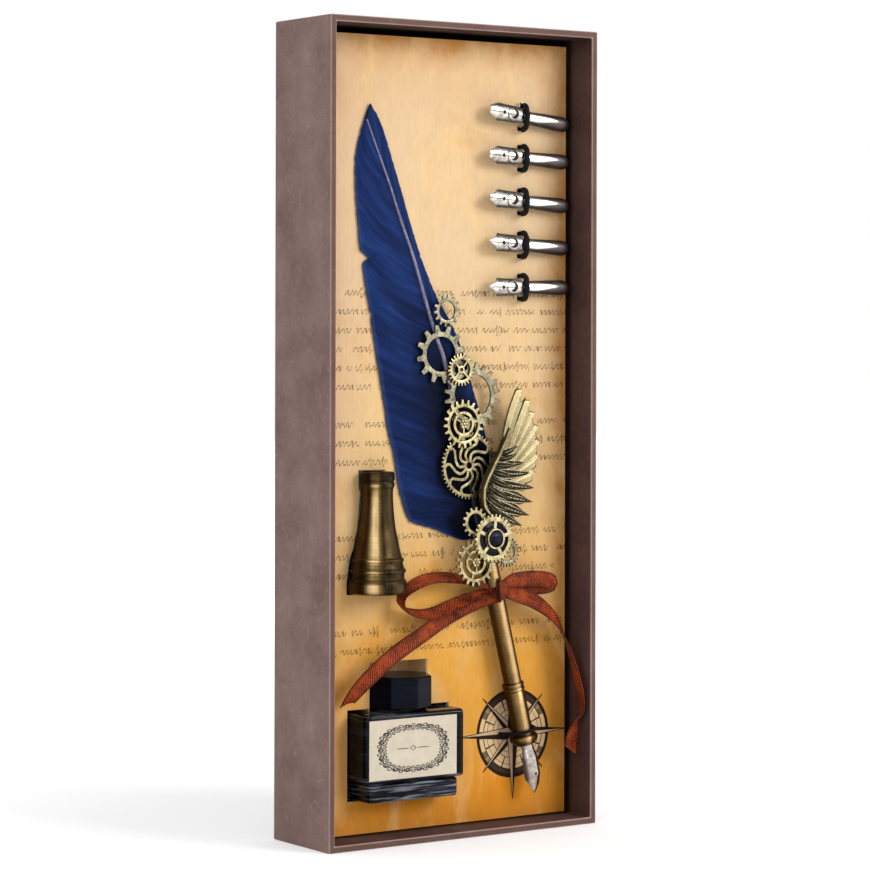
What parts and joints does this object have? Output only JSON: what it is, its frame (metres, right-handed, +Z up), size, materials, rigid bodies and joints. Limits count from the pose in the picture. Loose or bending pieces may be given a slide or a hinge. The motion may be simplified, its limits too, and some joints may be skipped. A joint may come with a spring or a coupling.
{
  "type": "calligraphy set box",
  "caption": "Shallow gift-box tray with a die-cut insert that holds a feathered dip pen, a bottle of ink, a pen stand and a row of spare nibs under elastic loops.",
  "frame": {"origin": "centre of the tray's underside, where it stands on its foot wall", "axes": "+X to the right as seen from the open side, +Z up the long side, +Y from the open rim to the back panel"},
  "size_m": [0.12, 0.038, 0.3],
  "materials": {
    "greyboard": "raw pressed board",
    "wrap": "mottled matt paper",
    "card": "uncoated card",
    "parchment": "printed satin paper",
    "label": "printed satin paper",
    "elastic": "woven cover",
    "nickel": "polished",
    "gunmetal": "dark polish",
    "black_glass": "gloss",
    "ink": "liquid ink",
    "black_resin": "gloss",
    "liner": "foam",
    "aged_brass": "antique, tarnished",
    "point_steel": "polished",
    "pale_brass": "antique plate with dark recesses",
    "feather": "dyed barbs",
    "quill": "horn",
    "ribbon": "satin weave"
  },
  "bodies": {
    "tray": {"back_panel": "greyboard", "left_wall": "greyboard", "right_wall": "greyboard", "head_wall": "greyboard", "foot_wall": "greyboard", "wrap_paper": "wrap", "foot_wrap": "wrap"},
    "insert": {"insert_card": "card", "insert_rails": "greyboard", "printed_sheet": "parchment", "bottle_cradle": "card", "nib_elastic": "elastic", "elastic_crimp": "nickel", "pen_tie": "elastic"},
    "pen": {"feather_wide_vane": "feather", "feather_narrow_vane": "feather", "feather_quill": "quill", "pen_barrel": "aged_brass", "pen_ring": "aged_brass", "pen_ferrule": "aged_brass", "gear_1": "pale_brass", "gear_2": "pale_brass", "gear_3": "pale_brass", "gear_4": "pale_brass", "gear_5": "pale_brass", "gear_6": "pale_brass", "gear_7": "pale_brass", "gear_8": "pale_brass", "gear_9": "pale_brass", "gear_10": "pale_brass", "gem_bezel": "pale_brass", "black_gem": "black_resin", "wing_charm": "pale_brass", "ribbon_wrap": "ribbon", "ribbon_knot": "ribbon", "ribbon_loop_left": "ribbon", "ribbon_loop_right": "ribbon", "ribbon_tail_left": "ribbon", "ribbon_tail_right": "ribbon"},
    "pen_point": {"pen_point": "point_steel"},
    "pen_stand": {"pen_stand": "aged_brass"},
    "bottle": {"bottle_glass": "black_glass", "bottle_ink": "ink", "bottle_label": "label"},
    "cap_liner": {"cap_liner": "liner"},
    "bottle_cap": {"bottle_cap": "black_resin"},
    "spare_nib_1": {"spare_nib_1": "nickel", "spare_shank_1": "gunmetal"},
    "spare_nib_2": {"spare_nib_2": "nickel", "spare_shank_2": "gunmetal"},
    "spare_nib_3": {"spare_nib_3": "nickel", "spare_shank_3": "gunmetal"},
    "spare_nib_4": {"spare_nib_4": "nickel", "spare_shank_4": "gunmetal"},
    "spare_nib_5": {"spare_nib_5": "nickel", "spare_shank_5": "gunmetal"}
  },
  "joints": [
    {"name": "insert_lift", "type": "slide", "parent": "tray", "child": "insert", "axis": [0, -1, 0], "range_m": [0, 0.045]},
    {"name": "pen_lift", "type": "slide", "parent": "insert", "child": "pen", "axis": [0, -1, 0], "range_m": [0, 0.035], "deforming": ["pen_tie"]},
    {"name": "pen_point_pull", "type": "slide", "parent": "pen", "child": "pen_point", "axis": [0.2402, 0, -0.9707], "range_m": [0, 0.0075]},
    {"name": "stand_lift", "type": "slide", "parent": "insert", "child": "pen_stand", "axis": [0, -1, 0], "range_m": [0, 0.034]},
    {"name": "bottle_lift", "type": "slide", "parent": "insert", "child": "bottle", "axis": [0, -1, 0], "range_m": [0, 0.035]},
    {"name": "cap_rise", "type": "slide", "parent": "bottle", "child": "cap_liner", "axis": [0, 0, 1], "range_m": [0, 0.0046]},
    {"name": "cap_turn", "type": "hinge", "parent": "cap_liner", "child": "bottle_cap", "pos_m": [-0.0196, -0.003, 0.054], "axis": [0, 0, 1], "range_deg": [0, 540]},
    {"name": "spare_nib_1_slide", "type": "slide", "parent": "insert", "child": "spare_nib_1", "axis": [-0.9925, 0, 0.1219], "range_m": [0, 0.02], "deforming": ["nib_elastic"]},
    {"name": "spare_nib_2_slide", "type": "slide", "parent": "insert", "child": "spare_nib_2", "axis": [-0.9982, 0, 0.0593], "range_m": [0, 0.02], "deforming": ["nib_elastic"]},
    {"name": "spare_nib_3_slide", "type": "slide", "parent": "insert", "child": "spare_nib_3", "axis": [-0.9976, 0, 0.0698], "range_m": [0, 0.02], "deforming": ["nib_elastic"]},
    {"name": "spare_nib_4_slide", "type": "slide", "parent": "insert", "child": "spare_nib_4", "axis": [-0.9982, 0, 0.0593], "range_m": [0, 0.02], "deforming": ["nib_elastic"]},
    {"name": "spare_nib_5_slide", "type": "slide", "parent": "insert", "child": "spare_nib_5", "axis": [-1, 0, 0.0035], "range_m": [0, 0.02], "deforming": ["nib_elastic"]}
  ],
  "couplings": [
    {"joint": "cap_rise", "follows": "cap_turn", "m_per_rad": 0.00047746}
  ]
}
